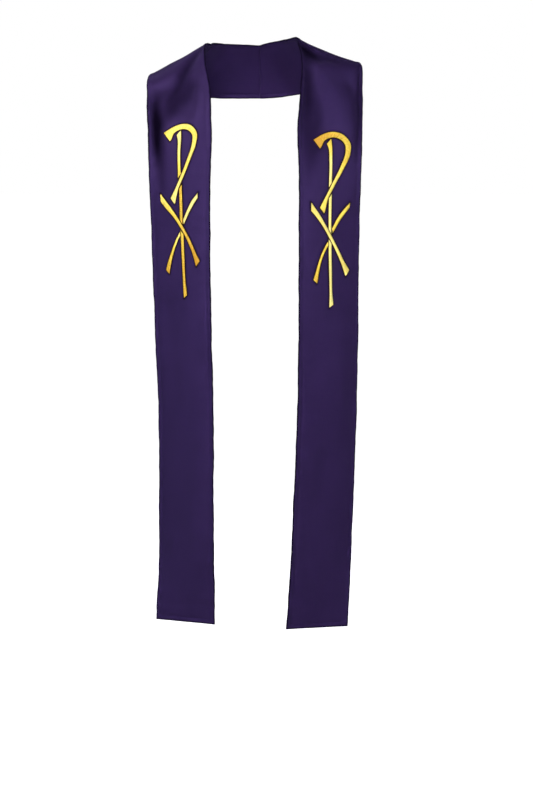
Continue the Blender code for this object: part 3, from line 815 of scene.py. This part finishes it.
def cloth_material(threads):
    """Purple gabardine: a fine slanted weave whose yarns shine purple where they face the light, with
    painted shade in its troughs, along its edges and beside its stitches.
    """
    material, tree, shader = start_material("purple gabardine")
    layout = add_node(tree, "ShaderNodeUVMap", uv_map="cut").outputs["UV"]
    twill = add_node(tree, "ShaderNodeGroup", node_tree=threads)
    feed(tree, twill.inputs["Layout"], layout)
    twill.inputs["Pitch"].default_value = TWILL_PITCH
    twill.inputs["Slant"].default_value = TWILL_SLANT
    twill.inputs["Unevenness"].default_value = 0.5
    warp = cloud(tree, stretch(tree, layout, WARP_GRAIN), 3.0)
    weft = cloud(tree, stretch(tree, layout, WEFT_GRAIN), 3.0)
    dye = cloud(tree, stretch(tree, layout, DYE_GRAIN), 4.0)
    streak = calculate(tree, "MULTIPLY_ADD", warp, 0.6, calculate(tree, "MULTIPLY", weft, 0.4))
    tint = calculate(tree, "MULTIPLY_ADD", streak, 0.55, calculate(tree, "MULTIPLY", dye, 0.45))
    colour = blend_colours(tree, remap(tree, tint, 0.30, 0.70, 0.0, 1.0), CLOTH_DEEP, CLOTH_PALE)
    # Painted shade: the cloth is darkened towards its painted shade colour along its edges, beside its
    # stitches and in its troughs.
    edge_shade = kept_value(tree, "edge_shade")
    stitched = kept_value(tree, "stitch_shade")
    hollow = kept_value(tree, "hollow")
    shaded = calculate(tree, "MULTIPLY", edge_shade, EDGE_SHADE_SHARE)
    shaded = calculate(tree, "MAXIMUM", shaded, stitched)
    shaded = calculate(tree, "MAXIMUM", shaded, hollow)
    colour = blend_colours(tree, shaded, colour, CLOTH_SHADED)
    feed(tree, shader.inputs["Base Color"], colour)
    rough = remap(tree, streak, 0.3, 0.7, 0.44, 0.54)
    rough = calculate(tree, "MULTIPLY_ADD", shaded, SHADED_ROUGHER, rough)
    feed(tree, shader.inputs["Roughness"], rough)
    # The painted shade also dims the reflections, as a metallic share over the near-black shade colour.
    feed(tree, shader.inputs["Metallic"], calculate(tree, "MULTIPLY", shaded, SHADED_DULL))
    relief = calculate(tree, "MULTIPLY_ADD", twill.outputs["Height"], 0.5,
                       calculate(tree, "MULTIPLY", streak, 0.9))
    bump = add_node(tree, "ShaderNodeBump")
    bump.inputs["Strength"].default_value = 0.30
    bump.inputs["Distance"].default_value = 0.0003
    feed(tree, bump.inputs["Height"], relief)
    feed(tree, shader.inputs["Normal"], bump.outputs["Normal"])
    shader.inputs["Specular Tint"].default_value = YARN_SHINE
    shader.inputs["Specular IOR Level"].default_value = 0.55
    shader.inputs["Sheen Weight"].default_value = 0.04
    shader.inputs["Sheen Roughness"].default_value = 0.5
    shader.inputs["Sheen Tint"].default_value = CLOTH_SHEEN
    return material


def gold_material(threads):
    """Gold satin stitch: close thread lines across each stroke, painted pale or dim stroke by stroke as
    painted sheen, with painted shade between the threads and round each rim.
    """
    material, tree, shader = start_material("gold satin stitch")
    layout = add_node(tree, "ShaderNodeUVMap", uv_map="threads").outputs["UV"]
    lines = add_node(tree, "ShaderNodeGroup", node_tree=threads)
    feed(tree, lines.inputs["Layout"], layout)
    lines.inputs["Pitch"].default_value = THREAD_PITCH / 2.0
    lines.inputs["Slant"].default_value = 0.0
    lines.inputs["Unevenness"].default_value = 0.3
    patch = calculate(tree, "SUBTRACT", lines.outputs["Shade"], 0.5)
    # The painted sheen, made a little patchy by the thread lines' noise.
    tone = calculate(tree, "MULTIPLY_ADD", patch, 0.9, kept_value(tree, "tone"))
    low = blend_colours(tree, remap(tree, tone, -0.1, 0.5, 0.0, 1.0), GOLD_PAINTED_DIM, GOLD_MIDDLE)
    colour = blend_colours(tree, remap(tree, tone, 0.4, 1.1, 0.0, 1.0), low, GOLD_PAINTED_HIGHLIGHT)
    # Painted shade in the gaps between the thread lines.
    painted_gap_shade = remap(tree, lines.outputs["Height"], 0.0, 0.35, 0.16, 0.0)
    # Painted shadow on the rim: nearly black, rougher and with dimmed reflections.
    turned = remap(tree, kept_value(tree, "turned"), 0.0, RIM_SHADE_FULL, 0.0, 1.0)
    colour = blend_colours(tree, calculate(tree, "MAXIMUM", painted_gap_shade, turned), colour, GOLD_SHADED)
    feed(tree, shader.inputs["Base Color"], colour)
    rough = remap(tree, tone, 0.0, 1.0, 0.50, 0.36)
    rough = calculate(tree, "MULTIPLY_ADD", turned, RIM_SHADE_ROUGHER, rough)
    feed(tree, shader.inputs["Roughness"], rough)
    feed(tree, shader.inputs["Metallic"], calculate(tree, "MULTIPLY", turned, RIM_SHADE_DULL))
    bump = add_node(tree, "ShaderNodeBump")
    bump.inputs["Strength"].default_value = 0.4
    bump.inputs["Distance"].default_value = 0.0001
    feed(tree, bump.inputs["Height"], lines.outputs["Height"])
    feed(tree, shader.inputs["Normal"], bump.outputs["Normal"])
    shader.inputs["Specular Tint"].default_value = THREAD_SHINE
    shader.inputs["Specular IOR Level"].default_value = 0.6
    return material


def build_floor():
    """A plain white floor under the stole, seen white and giving back a little light."""
    mesh = bmesh.new()
    bmesh.ops.create_grid(mesh, x_segments=1, y_segments=1, size=FLOOR_REACH)
    bmesh.ops.translate(mesh, verts=mesh.verts, vec=(0.0, 0.0, FLOOR_LEVEL))
    data = bpy.data.meshes.new("floor")
    mesh.to_mesh(data)
    mesh.free()
    material, tree, shader = start_material("white floor")
    shader.inputs["Base Color"].default_value = FLOOR_GREY
    shader.inputs["Roughness"].default_value = 0.9
    shader.inputs["Emission Color"].default_value = WHITE
    seen = add_node(tree, "ShaderNodeLightPath").outputs["Is Camera Ray"]
    feed(tree, shader.inputs["Emission Strength"], seen)
    data.materials.append(material)
    floor = bpy.data.objects.new("floor", data)
    bpy.context.collection.objects.link(floor)


def build_world():
    """White all round to the camera, and a dim even light on the stole."""
    world = bpy.data.worlds.new("white studio")
    bpy.context.scene.world = world
    world.use_nodes = True
    tree = world.node_tree
    sky = tree.nodes["Background"]
    seen = add_node(tree, "ShaderNodeLightPath").outputs["Is Camera Ray"]
    feed(tree, sky.inputs["Strength"], remap(tree, seen, 0.0, 1.0, AMBIENT, 1.0))
    sky.inputs["Color"].default_value = WHITE


def aim(thing, target):
    """Turn a light or camera towards a place."""
    direction = mathutils.Vector(target) - thing.location
    thing.rotation_euler = direction.to_track_quat("-Z", "Y").to_euler()


def build_light(row):
    """A square soft box, aimed at its target."""
    lamp = bpy.data.lights.new(row.name, "AREA")
    lamp.size = row.size
    lamp.energy = row.power
    lamp.color = row.colour
    lamp.spread = math.radians(row.spread)
    box = bpy.data.objects.new(row.name, lamp)
    box.location = row.place
    bpy.context.collection.objects.link(box)
    aim(box, row.target)


def build_camera():
    """A camera on a stand in front, a little above the chest's height and tipped down."""
    lens = bpy.data.cameras.new("camera")
    lens.lens = CAMERA_LENS
    lens.sensor_width = CAMERA_SENSOR
    lens.clip_end = CAMERA_SIGHT
    camera = bpy.data.objects.new("camera", lens)
    camera.location = CAMERA_PLACE
    camera.rotation_euler = (math.radians(90.0 - CAMERA_TIP), 0.0, 0.0)
    bpy.context.collection.objects.link(camera)
    bpy.context.scene.camera = camera


# The camera, the floor and the dim light from all round
CAMERA_PLACE = (0.030, -3.275, -0.200)
CAMERA_TIP = 9.0
CAMERA_LENS = 72.0
CAMERA_SENSOR = 36.0
CAMERA_SIGHT = 200.0
FLOOR_LEVEL = -1.48
FLOOR_REACH = 40.0
AMBIENT = 0.06

# Power is in watts, and a spread under 180 degrees is a grid that narrows the light.
SoftBox = namedtuple("SoftBox", "name place target size power colour spread")

SOFT_BOXES = (
    SoftBox("key soft box", (-1.50, -1.95, 1.75), (0.0, -0.15, -0.15),
            0.9, 52.0, (1.0, 0.98, 0.97), 180.0),
    SoftBox("top soft box", (-1.20, 0.90, 2.10), (-0.15, -0.05, 0.0),
            0.8, 7.0, (0.70, 0.55, 1.0), 180.0),
    SoftBox("right soft box", (1.75, -2.15, 1.30), (0.0, -0.15, -0.20),
            0.9, 32.0, (0.90, 0.95, 1.0), 180.0),
    SoftBox("left low box", (-2.30, -1.90, -0.55), (0.0, -0.15, -0.45),
            0.7, 9.0, (0.66, 0.80, 1.0), 180.0),
    SoftBox("right low box", (2.40, -2.10, -0.40), (0.0, -0.15, -0.40),
            0.7, 7.0, (0.92, 0.96, 1.0), 180.0),
    SoftBox("front fill", (-0.25, -3.7, -0.15), (-0.12, -0.15, -0.42),
            1.0, 3.2, (0.97, 0.96, 1.0), 32.0),
    SoftBox("back soft box", (0.4, 2.6, 0.0), (0.0, 0.0, -0.3),
            1.4, 30.0, (0.84, 0.76, 1.0), 180.0),
)

# Colours are linear.
WHITE = (1.0, 1.0, 1.0, 1.0)
FLOOR_GREY = (0.62, 0.62, 0.64, 1.0)
CLOTH_DEEP = (0.0130, 0.0062, 0.0310, 1.0)
CLOTH_PALE = (0.0200, 0.0100, 0.0460, 1.0)
# The cloth's painted shade colour.
CLOTH_SHADED = (0.0026, 0.0010, 0.0066, 1.0)
CLOTH_SHEEN = (0.45, 0.38, 0.85, 1.0)
YARN_SHINE = (0.47, 0.28, 1.00, 1.0)
# The gold's painted dim colour, its own middle colour and its painted highlight, mixed stroke by stroke.
GOLD_PAINTED_DIM = (0.62, 0.31, 0.018, 1.0)
GOLD_MIDDLE = (0.98, 0.72, 0.085, 1.0)
GOLD_PAINTED_HIGHLIGHT = (1.0, 0.89, 0.32, 1.0)
# Painted shade colour for the gold's rims and the gaps between its threads.
GOLD_SHADED = (0.030, 0.010, 0.005, 1.0)
THREAD_SHINE = (1.0, 0.86, 0.45, 1.0)

# Lines of the weave, and how many grains of each noise lie on a metre of the layout
TWILL_PITCH = 0.0009
TWILL_SLANT = 1.7
WARP_GRAIN = (900.0, 26.0, 1.0)
WEFT_GRAIN = (30.0, 700.0, 1.0)
DYE_GRAIN = (14.0, 7.0, 1.0)
WOBBLE_GRAIN = (600.0, 90.0, 1.0)
PATCH_GRAIN = (160.0, 420.0, 1.0)

build_camera()
build_world()
build_floor()
for soft_box in SOFT_BOXES:
    build_light(soft_box)
bpy.context.scene.view_settings.view_transform = "Standard"

thread_lines = thread_group()
gabardine = cloth_material(thread_lines)
gold_thread = gold_material(thread_lines)

for half in HALVES:
    band, band_length = build_band(half, gabardine)
    stitches = [build_stroke(half, stroke, gold_thread) for stroke in half.strokes]
